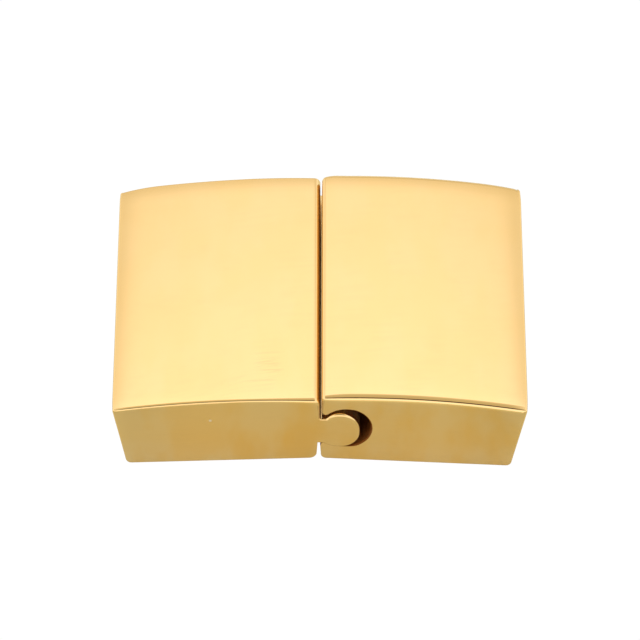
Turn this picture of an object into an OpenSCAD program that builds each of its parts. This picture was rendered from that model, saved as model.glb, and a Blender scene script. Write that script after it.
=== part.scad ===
// Magnetic clasp for a flat bracelet strap, shown closed.
// Two arched steel halves lie end to end. A round-nosed tongue on one half sits in a keyhole
// socket along the other, so the halves part by sliding sideways along Y.
// X runs across the joint, Y along the slide, Z up; Z = 0 is the surface the clasp lies on.

/* [Whole clasp] */
// Distance from the joint's middle to the end of each half, along its top
half_length = 15.05; // [13:0.05:20]
// Width of the clasp along the slide direction
clasp_width = 24; // [21:0.5:40]
// Inward lean of both end faces at the bottom, in degrees
end_lean = 11; // [0:0.5:14]
// Rise of the undersides toward the joint, in degrees
underside_rise = 2.75; // [1:0.25:4]

/* [Arched tops] */
// Highest point of the clasp, on the socket half's top
crown_height = 6.79; // [6.6:0.01:8]
// Step from there down to the tongue half's highest point
crown_step = 0.31; // [0:0.01:0.4]
// Radius of the tongue half's arched top
tongue_crown_radius = 77; // [60:1:200]
// Distance of that arch's highest line from the joint
tongue_crown_offset = 0.75; // [0:0.05:4]
// Rounding of the tongue half's front and back top edges
tongue_edge_round = 0.2; // [0.1:0.05:0.5]
// Radius of the socket half's arched top
socket_crown_radius = 62; // [55:1:200]
// Distance of that arch's highest line from the joint
socket_crown_offset = 2.95; // [0:0.05:4]
// Rounding of the socket half's front and back top edges
socket_edge_round = 0.4; // [0.1:0.05:0.6]

/* [Open joint] */
// Gap between the two halves' walls above the tongue
upper_gap = 0.13; // [0.1:0.01:0.3]
// Distance of that gap's middle from the joint's middle, toward the socket half
upper_shift = 0.065; // [0:0.005:0.1]
// Gap between the walls below the tongue, at its narrowest
lower_gap = 0.23; // [0.15:0.01:0.4]
// Distance of that gap's middle from the joint's middle, toward the tongue half
lower_shift = 0.085; // [0:0.005:0.1]
// Lean of each wall below the tongue, away from the other, in degrees
lower_lean = 4; // [0:0.5:8]

/* [Edges across the joint] */
// Rounding of the tongue half's top edge beside the joint
tongue_brow_round = 0.54; // [0.1:0.02:0.6]
// Rounding of the socket half's top edge beside the joint
socket_brow_round = 0.32; // [0.1:0.02:0.6]
// Rounding of the tongue half's bottom edge beside the joint
tongue_heel_round = 0.6; // [0.1:0.05:0.8]
// Rounding of the socket half's bottom edge beside the joint
socket_heel_round = 0.3; // [0.1:0.05:0.8]
// Rounding of the top edges at the strap ends
end_top_round = 0.15; // [0.05:0.05:0.4]
// Rounding of the bottom edges that the clasp lies on
foot_round = 0.4; // [0.1:0.05:0.5]

/* [Tongue] */
// Radius of the tongue's round bulb
bulb_radius = 1.6; // [1.5:0.01:1.65]
// Distance of the bulb's centre beyond the joint's middle
bulb_reach = 1.32; // [1.25:0.01:1.45]
// Height of the bulb's centre above the supporting surface
bulb_height = 3.51; // [3.45:0.01:3.65]
// Radius of the bulb's tighter crest, on the side of the neck
crest_radius = 1.15; // [1:0.05:1.3]
// Angle above the horizontal at which the crest leaves the bulb, in degrees
crest_angle = 72; // [60:1:80]
// Radius of the bulb's fuller lower front corner
toe_radius = 1.3; // [1:0.05:1.5]
// Distance of the neck's upper side above the bulb's centre
neck_top = 1.08; // [0.9:0.01:1.15]
// Distance of the neck's underside below the bulb's centre
neck_under = 1.26; // [1.15:0.01:1.35]
// Hollow rounding where the neck's upper side meets the bulb
neck_round = 0.3; // [0.2:0.05:0.4]
// Hollow rounding where it meets the tongue half's wall
root_round = 0.08; // [0.05:0.01:0.3]

/* [Socket] */
// Radius of the socket's round channel
socket_radius = 1.85; // [1.8:0.01:2]
// Distance of the channel's centre beyond the joint's middle
socket_reach = 1.89; // [1.8:0.01:2]
// Clearance between the tongue's underside and the socket's lower lip
slide_gap = 0.03; // [0.02:0.01:0.1]
// Radius of the rounded tip of the upper lip
lip_round = 0.3; // [0.2:0.02:0.34]
// Rounding of the lower lip's tip
lower_lip_round = 0.25; // [0.1:0.01:0.3]

/* [Strap pockets] */
// Width of the pocket for the strap, along Y
pocket_width = 20; // [16:0.5:20]
// Height of the pocket for the strap
pocket_height = 3; // [2.2:0.1:3.2]
// Depth of the pocket from the top edge of the end face
pocket_depth = 8.55; // [6:0.05:8.6]
// Metal left below the pocket at the end face
pocket_floor = 1.1; // [0.8:0.05:1.3]

/* [Magnets] */
// Length of each bar magnet along Y
magnet_length = 14; // [10:0.5:15]
// Height of each bar magnet
magnet_height = 2; // [1.2:0.1:2]
// Metal between a magnet and the joint or the socket channel
magnet_wall = 0.8; // [0.5:0.05:1]
// Glue line around each magnet
glue_gap = 0.04; // [0.02:0.01:0.1]

/* [Hidden] */
$fn = 128;

// Reach of cutting shapes beyond the metal
over = 1;
// Depth by which a round crosses the faces it blends, so that they meet in one clean edge
bite = 0.001;
// Outward distance of each half's wall above the tongue and at the neck's underside
tongue_face = upper_gap / 2 - upper_shift;
socket_face = upper_gap / 2 + upper_shift;
tongue_lower_face = lower_gap / 2 + lower_shift;
socket_lower_face = lower_gap / 2 - lower_shift;
// Highest point of the tongue half's top
tongue_crown_height = crown_height - crown_step;
// Unit direction up along each end face, in outward distance and height
end_up = [sin(end_lean), cos(end_lean)];
// Unit direction from each outer bottom edge toward the joint
under_in = [-cos(underside_rise), sin(underside_rise)];
// Unit direction up along each wall below the tongue
wall_up = [-sin(lower_lean), cos(lower_lean)];
// Lift of a rounded outer bottom edge above its sharp corner
foot_lift = round_centre([0, 0], end_up, under_in, foot_round)[1] - foot_round;
// Height of the sharp outer bottom corner that puts the rounded edge on Z = 0
foot_z = -foot_lift;

// Centre of the bulb, and of its crest, which touches the bulb's circle from inside
bulb = [bulb_reach, bulb_height];
crest = bulb + (bulb_radius - crest_radius) * [cos(crest_angle), sin(crest_angle)];
// Lowest line of the socket channel, and the channel's centre
channel_bottom = bulb_height - bulb_radius - slide_gap;
channel_z = channel_bottom + socket_radius;
// Neck's underside, and the angle below the horizontal at which it leaves the bulb
under_z = bulb_height - neck_under;
heel_angle = asin(neck_under / bulb_radius);
// Neck's upper side and the hollow round above it, tangent to neck and crest
neck_z = bulb_height + neck_top;
neck_hollow_z = neck_z + neck_round;
neck_hollow_x = crest[0] - sqrt(pow(crest_radius + neck_round, 2) - pow(neck_hollow_z - crest[1], 2));
neck_hollow = [neck_hollow_x, neck_hollow_z];
// Hollow round between the neck's upper side and the tongue half's wall
root_hollow = [root_round - tongue_face, neck_z + root_round];
// Upper lip's round tip, tangent to the joint wall and to the channel
lip_x = socket_face + lip_round;
lip_centre = [lip_x, channel_z + sqrt(pow(socket_radius + lip_round, 2) - pow(socket_reach - lip_x, 2))];
// Lower lip's flat top, just clear of the neck, and the point where the channel's floor meets it
lower_lip_z = under_z - slide_gap;
floor_radius = bulb_radius + slide_gap;
lower_lip_end = [
    bulb_reach - sqrt(pow(floor_radius, 2) - pow(bulb_height - lower_lip_z, 2)), lower_lip_z
];

// Inner end of both strap pockets, as outward distance
pocket_end = half_length - pocket_depth;
pocket_middle = pocket_floor + pocket_height / 2;
// Each magnet's inner end, as outward distance
tongue_magnet_start = tongue_lower_face + magnet_wall;
socket_magnet_start = socket_reach + socket_radius + magnet_wall;

// Height of an arched top at an outward distance
function arch_z(crown_z, radius, offset, out) =
    crown_z - radius + sqrt(radius * radius - pow(out - offset, 2));
// Unit direction along an arched top, outward, at an outward distance
function arch_out(radius, offset, out) =
    let (bend = asin((out - offset) / radius)) [cos(bend), -sin(bend)];
// Centre of the round that fits a corner whose edges leave in directions a and b
function round_centre(corner, a, b, radius) =
    let (middle = (a + b) / norm(a + b), half_angle = acos(a * b) / 2)
    corner + middle * radius / sin(half_angle);
// Distance from a corner to where its round meets each edge
function round_reach(a, b, radius) = radius / tan(acos(a * b) / 2);
// Point where the line through p along a meets the line through q along b
function meet(p, a, q, b) = p + a * cross(q - p, b) / cross(a, b);

// Sliver outside the round of one corner, cut away from a profile
module corner_cut(corner, a, b, radius) {
    centre = round_centre(corner, a, b, radius);
    reach = round_reach(a, b, radius);
    touch_a = corner + a * reach;
    touch_b = corner + b * reach;
    difference() {
        polygon([
            centre,
            touch_a + (touch_a - centre),
            corner + (corner - centre),
            touch_b + (touch_b - centre)
        ]);
        translate(centre) circle(r = radius + bite);
    }
}

// Side profile of one half in outward distance and height, reaching above its arched top
module half_profile(crown_z, radius, offset, face, lower_face, brow_round, heel_round) {
    end_top = [half_length, arch_z(crown_z, radius, offset, half_length)];
    foot = [half_length - (end_top[1] - foot_z) * tan(end_lean), foot_z];
    wall_top = [lower_face, under_z];
    inner_foot = meet(foot, under_in, wall_top, wall_up);
    joint_top = [face, arch_z(crown_z, radius, offset, face)];
    headroom = crown_z + over;
    difference() {
        polygon([
            inner_foot,
            foot,
            foot + end_up * (headroom - foot_z) / cos(end_lean),
            [face, headroom],
            [face, bulb_height],
            meet([0, bulb_height], [1, 0], wall_top, wall_up)
        ]);
        corner_cut(foot, end_up, under_in, foot_round);
        corner_cut(inner_foot, wall_up, -under_in, heel_round);
        corner_cut(end_top, -arch_out(radius, offset, half_length), -end_up, end_top_round);
        corner_cut(joint_top, arch_out(radius, offset, face), [0, -1], brow_round);
    }
}

// Ring whose outer wall is an arched top, with rounded front and back edges
module arch_ring(crown_z, radius, offset, edge_round) {
    depth = crown_z + 2 * over;
    half_width = clasp_width / 2;
    translate([offset, 0, crown_z - radius])
        rotate([90, 0, 0])
            rotate_extrude()
                difference() {
                    translate([radius - depth, -half_width])
                        square([depth, clasp_width]);
                    for (side = [-1, 1])
                        corner_cut([radius, side * half_width], [-1, 0], [0, -side], edge_round);
                }
}

// A profile in X and Z carried along Y over a length, centred
module along_y(length) {
    rotate([90, 0, 0])
        linear_extrude(height = length, center = true)
            children();
}

// Bulb profile: its circle from the heel round to the crest, the crest and the fuller toe
module bulb_profile() {
    inner = bulb_radius - bite;
    far = 2 * bulb_radius;
    intersection() {
        translate(bulb) circle(r = bulb_radius);
        polygon([
            bulb,
            bulb - far * [cos(heel_angle), sin(heel_angle)],
            bulb + [0, -far],
            bulb + [far, -far],
            bulb + [far, far],
            bulb + far * [cos(crest_angle), sin(crest_angle)]
        ]);
    }
    translate(crest) circle(r = crest_radius);
    difference() {
        translate(bulb - [0, inner])
            square([inner, inner]);
        corner_cut(bulb + [inner, -inner], [-1, 0], [0, 1], toe_radius);
    }
}

// Tongue profile: bulb, neck and the hollow rounds on the neck's upper side
module tongue_profile() {
    root = tongue_lower_face + over;
    heel = bulb - bulb_radius * [cos(heel_angle), sin(heel_angle)];
    bulb_profile();
    polygon([[-root, neck_z], [-root, under_z], heel, bulb, crest, [neck_hollow[0], neck_z]]);
    difference() {
        polygon([[neck_hollow[0], bulb_height], crest, neck_hollow]);
        translate(neck_hollow) circle(r = neck_round + bite);
    }
    difference() {
        translate([-root, bulb_height])
            square([root_hollow[0] + root, root_hollow[1] - bulb_height]);
        translate(root_hollow) circle(r = root_round + bite);
    }
}

// Socket profile: round channel, its floor under the bulb and the mouth between the lips
module socket_profile() {
    translate([socket_reach, channel_z])
        circle(r = socket_radius);
    translate(bulb)
        circle(r = floor_radius);
    translate([bulb_reach, channel_bottom + bite])
        square([socket_reach - bulb_reach, bulb_radius]);
    difference() {
        polygon([
            [-over, lip_centre[1]],
            [-over, lower_lip_z],
            lower_lip_end,
            bulb,
            [socket_reach, channel_z],
            lip_centre
        ]);
        translate(lip_centre) circle(r = lip_round + bite);
    }
}

// Lower lip's tip beside the joint, rounded
module lower_lip_cut() {
    corner = meet([0, lower_lip_z], [1, 0], [socket_lower_face, under_z], wall_up);
    corner_cut(corner, [1, 0], -wall_up, lower_lip_round);
}

// Block for a strap pocket and the recess behind it, cut outward from the joint
module pocket_cut(magnet_start) {
    translate([pocket_end, -pocket_width / 2, pocket_floor])
        cube([pocket_depth + over, pocket_width, pocket_height]);
    magnet_block(magnet_start - glue_gap, glue_gap);
}

// Bar between a start distance and the pocket's inner end, grown by a margin
module magnet_block(start, margin) {
    length = magnet_length + 2 * margin;
    height = magnet_height + 2 * margin;
    extra = margin > 0 ? over : 0;
    translate([start, -length / 2, pocket_middle - height / 2])
        cube([pocket_end - start + extra, length, height]);
}

module tongue_half() {
    color("goldenrod")
        difference() {
            intersection() {
                along_y(clasp_width) {
                    mirror([1, 0])
                        half_profile(
                            tongue_crown_height,
                            tongue_crown_radius,
                            tongue_crown_offset,
                            tongue_face,
                            tongue_lower_face,
                            tongue_brow_round,
                            tongue_heel_round
                        );
                    tongue_profile();
                }
                mirror([1, 0, 0])
                    arch_ring(
                        tongue_crown_height, tongue_crown_radius, tongue_crown_offset, tongue_edge_round
                    );
            }
            mirror([1, 0, 0])
                pocket_cut(tongue_magnet_start);
        }
}

module socket_half() {
    color("gold")
        difference() {
            intersection() {
                along_y(clasp_width)
                    difference() {
                        half_profile(
                            crown_height,
                            socket_crown_radius,
                            socket_crown_offset,
                            socket_face,
                            socket_lower_face,
                            socket_brow_round,
                            socket_heel_round
                        );
                        socket_profile();
                        lower_lip_cut();
                    }
                arch_ring(crown_height, socket_crown_radius, socket_crown_offset, socket_edge_round);
            }
            pocket_cut(socket_magnet_start);
        }
}

module tongue_magnet() {
    color("silver")
        mirror([1, 0, 0])
            magnet_block(tongue_magnet_start, 0);
}

module socket_magnet() {
    color("silver")
        magnet_block(socket_magnet_start, 0);
}

tongue_half();
socket_half();
tongue_magnet();
socket_magnet();
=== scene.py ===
"""Visual model of the magnetic clasp: two arched gold halves, their bar magnets and a white studio.

Each half is drawn again from the side profile that its solid has, in millimetres, with finely
rounded edges and true surface normals, so that the polish mirrors the studio cleanly.
"""

import sys

import logging
import math
from collections.abc import Mapping, Sequence
from dataclasses import dataclass, field
from enum import Enum

import bpy
from mathutils import Matrix, Vector
from mathutils.geometry import delaunay_2d_cdt

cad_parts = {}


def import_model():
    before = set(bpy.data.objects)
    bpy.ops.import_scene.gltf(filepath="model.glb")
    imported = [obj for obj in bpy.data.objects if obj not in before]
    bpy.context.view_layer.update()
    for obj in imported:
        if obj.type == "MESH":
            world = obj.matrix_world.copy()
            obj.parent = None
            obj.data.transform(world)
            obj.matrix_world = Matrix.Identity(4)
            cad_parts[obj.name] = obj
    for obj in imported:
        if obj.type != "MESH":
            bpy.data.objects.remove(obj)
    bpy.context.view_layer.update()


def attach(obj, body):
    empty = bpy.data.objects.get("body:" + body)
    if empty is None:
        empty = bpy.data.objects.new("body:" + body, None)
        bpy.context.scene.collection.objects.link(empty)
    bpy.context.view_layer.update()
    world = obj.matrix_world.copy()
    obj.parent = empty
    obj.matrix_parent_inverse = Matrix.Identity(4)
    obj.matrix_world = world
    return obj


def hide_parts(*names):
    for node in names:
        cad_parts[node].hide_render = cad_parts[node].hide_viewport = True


LOG = logging.getLogger("clasp")
# One millimetre, in metres.
MM = 0.001
# Two points of a profile that are nearer to each other than this, in millimetres, are made one.
SAME_SPOT = 0.004
# Mesh points are told apart to this many parts of a millimetre.
MESH_GRAIN = 1e5
# Face attribute that holds the share of the dark, dull layer of painted shade inside the joint and the
# strap pockets.
INNER = "inner"
# Spot and unit normal of each point of a closed loop.
Loop = Sequence[tuple[Vector, Vector]]
# Angle in degrees and edge rounding of each point of an arc.
Stations = Sequence[tuple[float, float]]
Colour = tuple[float, float, float, float]
WHITE: Colour = (1.0, 1.0, 1.0, 1.0)
# What an input of a node takes: a number, a vector or colour, or another node's output.
Value = float | Sequence[float] | bpy.types.NodeSocket


class HalfSide(Enum):
    """Side of the joint on which a half lies: the sign of its X."""

    TONGUE = -1
    SOCKET = 1


class GapShade(Enum):
    """Share of the dark, dull layer that paints the shade on the surfaces inside the joint."""

    BULB = 0.15
    CEILING = 0.3
    NECK = 0.15
    BROW = 0.27
    WALL = 0.5
    LOWER_WALL = 0.1
    CHANNEL = 1.0


class PocketShade(Enum):
    """Share of the dark, dull layer inside a strap pocket: painted shade that deepens toward the magnet's
    recess.
    """

    LIP = 0.3
    WALL = 0.6
    END = 0.7
    RECESS = 1.0


def direction(degrees: float) -> Vector:
    """Unit vector in a profile's plane at an angle from the outward axis."""
    return Vector((math.cos(math.radians(degrees)), math.sin(math.radians(degrees))))


def meet(first: Vector, along: Vector, second: Vector, other: Vector) -> Vector:
    """Point where a line through one point meets a line through another.

    Args:
        first: Point of the first line.
        along: Its direction.
        second: Point of the second line.
        other: Its direction.

    Returns:
        The common point.
    """
    gap = second - first
    return first + along * (gap.cross(other) / along.cross(other))


def smooth(share: float) -> float:
    """Eases a share from 0 to 1 with no slope at either end."""
    share = min(1.0, max(0.0, share))
    return share * share * (3.0 - 2.0 * share)


@dataclass(frozen=True)
class RimPoint:
    """Point of a side profile: outward distance and height.

    Attributes:
        spot: The point.
        normal: Unit normal, out of the metal.
        edge: Rounding of the front and back edge at this point.
        inner: Share of the dark layer of painted shade on the surface that starts here.
        mouth: True where the surface up to the next point holds the pocket's mouth.
    """

    spot: Vector
    normal: Vector
    edge: float
    inner: float = 0.0
    mouth: bool = False


@dataclass
class Outline:
    """Closed side profile, anticlockwise, made of runs that meet at sharp hollow corners."""

    runs: list[list[RimPoint]] = field(default_factory=lambda: [[]])

    def _add(self, point: RimPoint) -> None:
        """Adds a point to the current run.

        Args:
            point: The point. It takes the place of the last one where both are at one spot.
        """
        run = self.runs[-1]
        if run and (run[-1].spot - point.spot).length < SAME_SPOT:
            run.pop()
        run.append(point)

    def point(self, spot: Vector, normal: Vector, edge: float) -> None:
        """Adds a point of the outer skin whose normal is given."""
        self._add(RimPoint(spot, normal, edge))

    def line(
        self,
        start: Vector,
        end: Vector,
        edges: tuple[float, float],
        inner: float = 0.0,
        mouth: bool = False,
    ) -> None:
        """Adds a straight side.

        Args:
            start: First point.
            end: Last point.
            edges: Edge rounding at the first and at the last point.
            inner: Share of the dark layer of painted shade.
            mouth: True where the pocket opens through this side.
        """
        along = (end - start).normalized()
        normal = Vector((along.y, -along.x))
        self._add(RimPoint(start, normal, edges[0], inner, mouth))
        self._add(RimPoint(end, normal, edges[1], inner))

    def arc(
        self,
        centre: Vector,
        radius: float,
        stations: Stations,
        hollow: bool = False,
        inner: float = 0.0,
    ) -> None:
        """Adds a round side.

        Args:
            centre: Centre of the round.
            radius: Its radius.
            stations: Angle in degrees and edge rounding of each point.
            hollow: True where the metal is outside the round.
            inner: Share of the dark layer of painted shade.
        """
        sign = -1.0 if hollow else 1.0
        for angle, edge in stations:
            out = direction(angle)
            self._add(RimPoint(centre + out * radius, out * sign, edge, inner))

    def sharp(self) -> None:
        """Ends the run at a sharp hollow corner and starts the next one there."""
        self.runs.append([])

    def closed(self) -> list[list[tuple[RimPoint, Vector]]]:
        """Closes the profile.

        Returns:
            The runs, each point with the direction in which its inset moves, reversed: its own
            normal, or the mitre of both sides at a sharp corner.
        """
        runs = self.runs
        if len(runs) == 1:
            return [[(point, point.normal) for point in [*runs[0], runs[0][0]]]]
        made = []
        for index, run in enumerate(runs):
            before, after = runs[index - 1][-1], runs[(index + 1) % len(runs)][0]
            rows = [(point, point.normal) for point in run]
            rows[0] = (run[0], self._mitre(before.normal, run[0].normal))
            rows[-1] = (run[-1], self._mitre(run[-1].normal, after.normal))
            made.append(rows)
        return made

    @staticmethod
    def _mitre(first: Vector, second: Vector) -> Vector:
        """Direction whose inset keeps to both sides of a corner."""
        return (first + second) / (1.0 + first.dot(second))


def sweep(start: float, end: float, edges: tuple[float, float], step: float = 6.0) -> Stations:
    """Stations of an arc whose edge rounding eases from one value to another.

    Args:
        start: First angle in degrees.
        end: Last angle in degrees.
        edges: Edge rounding at the first and last angle.
        step: Largest step in degrees.

    Returns:
        Angle and edge rounding of each station.
    """
    count = max(2, math.ceil(abs(end - start) / step))
    return [
        (start + (end - start) * k / count, edges[0] + (edges[1] - edges[0]) * smooth(k / count))
        for k in range(count + 1)
    ]


@dataclass(frozen=True)
class Corner:
    """Rounded corner between two straight sides of a profile.

    Attributes:
        spot: The sharp corner.
        first: Unit direction from it along the side that comes before it.
        second: Unit direction from it along the side that comes after it.
        radius: Radius of its round.
    """

    spot: Vector
    first: Vector
    second: Vector
    radius: float

    @property
    def reach(self) -> float:
        """Distance from the sharp corner to where the round meets each side."""
        return self.radius / math.tan(math.acos(self.first.dot(self.second)) / 2.0)

    @property
    def centre(self) -> Vector:
        """Centre of the round."""
        middle = (self.first + self.second).normalized()
        return self.spot + middle * math.hypot(self.reach, self.radius)

    @property
    def start(self) -> Vector:
        """Point where the side before the corner ends."""
        return self.spot + self.first * self.reach

    @property
    def end(self) -> Vector:
        """Point where the side after the corner starts."""
        return self.spot + self.second * self.reach


class Shell:
    """Mesh in the making: shared points, faces and a normal at each face corner."""

    def __init__(self) -> None:
        """Starts with no faces."""
        self._index: dict[tuple[int, ...], int] = {}
        self._points: list[Vector] = []
        self._faces: list[list[int]] = []
        self._normals: list[Vector] = []
        self._inner: list[float] = []

    def face(self, spots: Sequence[Vector], normals: Sequence[Vector], inner: float = 0.0) -> None:
        """Adds a face, turned so that it faces the way its normals point.

        Args:
            spots: Corners in order, in millimetres.
            normals: Surface normal at each corner.
            inner: Share of the dark layer of painted shade.
        """
        corners: list[tuple[int, Vector, Vector]] = []
        for spot, normal in zip(spots, normals, strict=True):
            key = tuple(round(c * MESH_GRAIN) for c in spot)
            index = self._index.setdefault(key, len(self._points))
            if index == len(self._points):
                self._points.append(spot)
            if index not in [c[0] for c in corners]:
                corners.append((index, spot, normal))
        if len(corners) < 3:
            return
        area = Vector((0.0, 0.0, 0.0))
        for (_, a, _), (_, b, _) in zip(corners, corners[1:] + corners[:1], strict=True):
            area += a.cross(b)
        if area.dot(sum((c[2] for c in corners), Vector((0.0, 0.0, 0.0)))) < 0.0:
            corners.reverse()
        self._faces.append([c[0] for c in corners])
        self._normals.extend(c[2].normalized() for c in corners)
        self._inner.append(inner)

    def band(self, first: Loop, second: Loop, inner: float = 0.0) -> None:
        """Joins two closed loops of the same length by faces.

        Args:
            first: One loop.
            second: The other loop.
            inner: Share of the dark layer of painted shade.
        """
        count = len(first)
        for k in range(count):
            corners = (first[k], first[(k + 1) % count], second[(k + 1) % count], second[k])
            self.face([c[0] for c in corners], [c[1] for c in corners], inner)

    def cap(self, loop: Sequence[Vector], normal: Vector, inner: float = 0.0) -> None:
        """Closes a loop by one flat face.

        Args:
            loop: Spots of the loop.
            normal: The face's normal.
            inner: Share of the dark layer of painted shade.
        """
        self.face(loop, [normal] * len(loop), inner)

    def build(self, name: str, material: bpy.types.Material) -> bpy.types.Object:
        """Makes the object in the scene.

        Args:
            name: Name of the piece.
            material: Its material.

        Returns:
            The new object, in metres.
        """
        mesh = bpy.data.meshes.new(name)
        mesh.from_pydata([spot * MM for spot in self._points], [], self._faces)
        mesh.polygons.foreach_set("use_smooth", [True] * len(self._faces))
        mesh.attributes.new(INNER, "FLOAT", "FACE").data.foreach_set("value", self._inner)
        mesh.materials.append(material)
        mesh.update()
        mesh.normals_split_custom_set([tuple(normal) for normal in self._normals])
        piece = bpy.data.objects.new(name, mesh)
        bpy.context.scene.collection.objects.link(piece)
        LOG.info("%s: %d points, %d faces", name, len(self._points), len(self._faces))
        return piece


@dataclass(frozen=True)
class RoundedBox:
    """Rectangle in Y and Z with round corners, in millimetres.

    Attributes:
        half_width: Half of its width along Y.
        bottom: Height of its lower side.
        top: Height of its upper side.
        corner: Radius of its corners.
        steps: Steps in each corner.
    """

    half_width: float
    bottom: float
    top: float
    corner: float
    steps: int = 6

    def loop(self, grow: float = 0.0) -> Loop:
        """Points of the rectangle.

        Args:
            grow: Distance by which it is grown on all sides.

        Returns:
            Y and Z of each point, with the outward direction there.
        """
        made = []
        for quarter in range(4):
            y_sign = 1 if quarter in (0, 3) else -1
            z_sign = 1 if quarter in (0, 1) else -1
            centre = Vector(
                (
                    y_sign * (self.half_width - self.corner),
                    self.top - self.corner if z_sign > 0 else self.bottom + self.corner,
                )
            )
            for k in range(self.steps + 1):
                out = direction(90.0 * (quarter + k / self.steps))
                made.append((centre + out * (self.corner + grow), out))
        return made


@dataclass(frozen=True)
class Pocket:
    """Strap pocket in a half's end, with the recess for its magnet behind.

    Attributes:
        end: Outward distance of the pocket's inner end.
        mouth: The pocket's section.
        recess: Section of the magnet's recess.
        recess_end: Outward distance of the recess's closed end.
        lip: Rounding of its mouth's edge.
        lip_steps: Faces across that rounding.
    """

    end: float
    mouth: RoundedBox
    recess: RoundedBox
    recess_end: float
    lip: float = 0.12
    lip_steps: int = 6


@dataclass(frozen=True)
class Half:
    """One half of the clasp: sizes of its body, in millimetres and degrees.

    Attributes:
        side: The side of the joint on which it lies.
        crown: Height of its highest line.
        arch_radius: Radius of its arched top.
        arch_offset: Distance of the highest line from the joint's middle.
        top_edge: Rounding of its front and back top edges.
        pocket: Its strap pocket.
        length: Distance of its end from the joint's middle, along the top.
        half_width: Half of its width along Y.
        face: Distance of its wall above the tongue from the joint's middle.
        lower_face: Distance of its wall below the tongue, at the neck's underside.
        under_z: Height of the neck's underside.
        lower_lean: Lean of that wall away from the joint.
        end_lean: Lean of its end face.
        underside_rise: Rise of its underside toward the joint.
        brow_round: Rounding of the top edge beside the joint.
        heel_round: Rounding of the bottom edge beside the joint.
        end_top_round: Rounding of the top edge at the strap end.
        end_top_edge: Rounding of the front and back edges where they reach that edge.
        end_ramp: Distance over which the front and back top edges change to it.
        foot_round: Rounding of the bottom edge at the strap end.
        taper: How far the front and back draw in at the crown, as a share of the way from the joint.
        brow_turn: Angle round the top edge beside the joint at which the dark layer of painted shade
            starts.
        joint_edge: Rounding of the front and back top edges where they reach the joint.
        joint_ramp: Distance over which the top edges change to it.
        draw: Share of the length by which the half is shorter along its front and back.
        draw_width: Width over which it grows shorter.
        back_growth: How much faster than that the drawing in of the back grows toward its face.
        back_draw: Distance by which the back is drawn in at the joint, at the top.
        back_draw_width: Distance from the joint at which it starts.
        back_draw_z: Height at which it starts.
        back_draw_rise: Height over which it grows.
        end_draw: Distance by which the back is drawn in at the strap end.
        end_draw_width: Distance from the strap end at which it starts.
        tip_draw: Distance by which the back corner at the strap end is drawn in further.
        tip_draw_width: Distance from the strap end at which that starts.
        wall_edge: Rounding of the front and back edges of the wall above the tongue.
        fine_edge: Rounding of the front and back edges of the wall below it.
        small_edge: Rounding of all the other front and back edges.
        edge_steps: Faces across each edge rounding.
        lip_roll: Lean of the polish right at a front or back edge, in degrees.
        lip_width: Width over which it leans.
        rolloff: Lean of the polish toward the front edge, in degrees.
        rolloff_width: Width over which that leans.
        back_rolloff: The same lean toward the back edge.
        back_rolloff_width: The same width there.
        end_rolloff: Lean of the top's polish just before the strap end, in degrees.
        end_rolloff_width: Width over which that leans.
    """

    side: HalfSide
    crown: float
    arch_radius: float
    arch_offset: float
    top_edge: float
    pocket: Pocket
    face: float
    lower_face: float
    brow_round: float
    heel_round: float
    joint_edge: float
    joint_ramp: float
    lip_roll: float = 0.0
    lip_width: float = 0.1
    taper: float = 0.0
    under_z: float = 2.25
    lower_lean: float = 4.0
    length: float = 15.05
    half_width: float = 12.0
    end_lean: float = 11.0
    underside_rise: float = 2.75
    end_top_round: float = 0.15
    end_top_edge: float = 0.1275
    end_ramp: float = 0.12
    foot_round: float = 0.4
    brow_turn: float = 154.0
    draw: float = 0.0036
    draw_width: float = 1.5
    back_growth: float = 1.7
    back_draw: float = 0.0
    back_draw_width: float = 1.3
    back_draw_z: float = 4.2
    back_draw_rise: float = 1.6
    end_draw: float = 0.2
    end_draw_width: float = 3.0
    tip_draw: float = 0.04
    tip_draw_width: float = 0.35
    wall_edge: float = 0.2
    fine_edge: float = 0.01
    small_edge: float = 0.08
    edge_steps: int = 8
    rolloff: float = 0.6
    rolloff_width: float = 1.5
    back_rolloff: float = 1.5
    back_rolloff_width: float = 1.7
    end_rolloff: float = 8.0
    end_rolloff_width: float = 2.2

    @property
    def wall_up(self) -> Vector:
        """Direction up along the wall below the tongue."""
        return direction(90.0 + self.lower_lean)

    @property
    def arch_centre(self) -> Vector:
        """Centre of the arched top."""
        return Vector((self.arch_offset, self.crown - self.arch_radius))

    def arch_angle(self, out: float) -> float:
        """Angle of the arch's normal at an outward distance, in degrees."""
        return 90.0 - math.degrees(math.asin((out - self.arch_offset) / self.arch_radius))

    def arch_spot(self, out: float) -> Vector:
        """Point of the arched top at an outward distance."""
        return self.arch_centre + direction(self.arch_angle(out)) * self.arch_radius

    @property
    def end_corner(self) -> Corner:
        """Top corner at the strap end.

        Returns:
            The corner between the end face and the arched top.
        """
        return Corner(
            self.arch_spot(self.length),
            -direction(90.0 - self.end_lean),
            direction(self.arch_angle(self.length) + 90.0),
            self.end_top_round,
        )

    @property
    def foot_corner(self) -> Corner:
        """Bottom corner at the strap end.

        Returns:
            The corner, whose round touches the surface that the clasp lies on.
        """
        up, back = direction(90.0 - self.end_lean), direction(180.0 - self.underside_rise)
        lift = Corner(Vector((0.0, 0.0)), back, up, self.foot_round).centre.y - self.foot_round
        top = self.arch_spot(self.length)
        spot = Vector((top.x - (top.y + lift) * math.tan(math.radians(self.end_lean)), -lift))
        return Corner(spot, back, up, self.foot_round)

    @property
    def inner_corner(self) -> Corner:
        """Bottom corner beside the joint.

        Returns:
            The corner between the wall below the tongue and the underside.
        """
        along = direction(180.0 - self.underside_rise)
        spot = meet(self.foot_corner.spot, along, Vector((self.lower_face, self.under_z)), self.wall_up)
        return Corner(spot, self.wall_up, -along, self.heel_round)

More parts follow.
